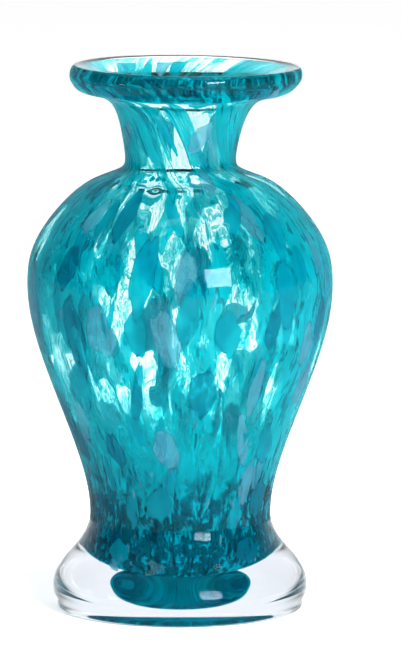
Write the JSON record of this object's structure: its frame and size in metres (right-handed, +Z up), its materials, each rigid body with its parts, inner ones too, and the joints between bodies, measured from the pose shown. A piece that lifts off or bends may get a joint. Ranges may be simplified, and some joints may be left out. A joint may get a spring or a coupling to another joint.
{
  "type": "glass vase",
  "caption": "Baluster glass vase with a flared lip, narrow neck, swelling body and thick disc foot, its color film and chips cased between clear layers.",
  "frame": {"origin": "centre of the foot's resting face, on the surface that the vase stands on", "axes": "+Z up along the vase's axis, -Y faces the viewer, +X is the side that the neck and lip lean to"},
  "size_m": [0.1144, 0.1144, 0.2055],
  "materials": {
    "clear_glass": "clear, fire polished",
    "film_glass": "translucent aqua streaks and clear gaps",
    "teal_chip": "translucent teal",
    "deep_teal_chip": "translucent deep teal",
    "pale_chip": "translucent pale aqua"
  },
  "bodies": {
    "root": {"clear_casing": "clear_glass", "color_film": "film_glass", "inner_gather": "clear_glass", "applied_foot": "clear_glass", "chip_base_1": "teal_chip", "chip_base_2": "deep_teal_chip", "chip_base_3": "pale_chip", "chip_heel_1": "deep_teal_chip", "chip_heel_2": "pale_chip", "chip_heel_3": "teal_chip", "chip_heel_4": "deep_teal_chip", "chip_waist_1": "pale_chip", "chip_waist_2": "teal_chip", "chip_waist_3": "deep_teal_chip", "chip_waist_4": "pale_chip", "chip_waist_5": "teal_chip", "chip_lower_body_1": "teal_chip", "chip_lower_body_2": "deep_teal_chip", "chip_lower_body_3": "pale_chip", "chip_lower_body_4": "teal_chip", "chip_lower_body_5": "deep_teal_chip", "chip_lower_body_6": "pale_chip", "chip_body_1": "deep_teal_chip", "chip_body_2": "pale_chip", "chip_body_3": "teal_chip", "chip_body_4": "deep_teal_chip", "chip_body_5": "pale_chip", "chip_body_6": "teal_chip", "chip_belly_1": "pale_chip", "chip_belly_2": "teal_chip", "chip_belly_3": "deep_teal_chip", "chip_belly_4": "pale_chip", "chip_belly_5": "teal_chip", "chip_belly_6": "deep_teal_chip", "chip_belly_7": "pale_chip", "chip_shoulder_1": "teal_chip", "chip_shoulder_2": "deep_teal_chip", "chip_shoulder_3": "pale_chip", "chip_shoulder_4": "teal_chip", "chip_shoulder_5": "deep_teal_chip", "chip_shoulder_6": "pale_chip", "chip_shoulder_7": "teal_chip", "chip_collar_1": "deep_teal_chip", "chip_collar_2": "pale_chip", "chip_collar_3": "teal_chip", "chip_collar_4": "deep_teal_chip", "chip_collar_5": "pale_chip", "chip_neck_1": "pale_chip", "chip_neck_2": "teal_chip", "chip_neck_3": "deep_teal_chip", "chip_neck_4": "pale_chip", "chip_lip_1": "teal_chip", "chip_lip_2": "deep_teal_chip", "chip_lip_3": "pale_chip", "chip_lip_4": "teal_chip", "chip_lip_5": "deep_teal_chip"}
  },
  "joints": []
}
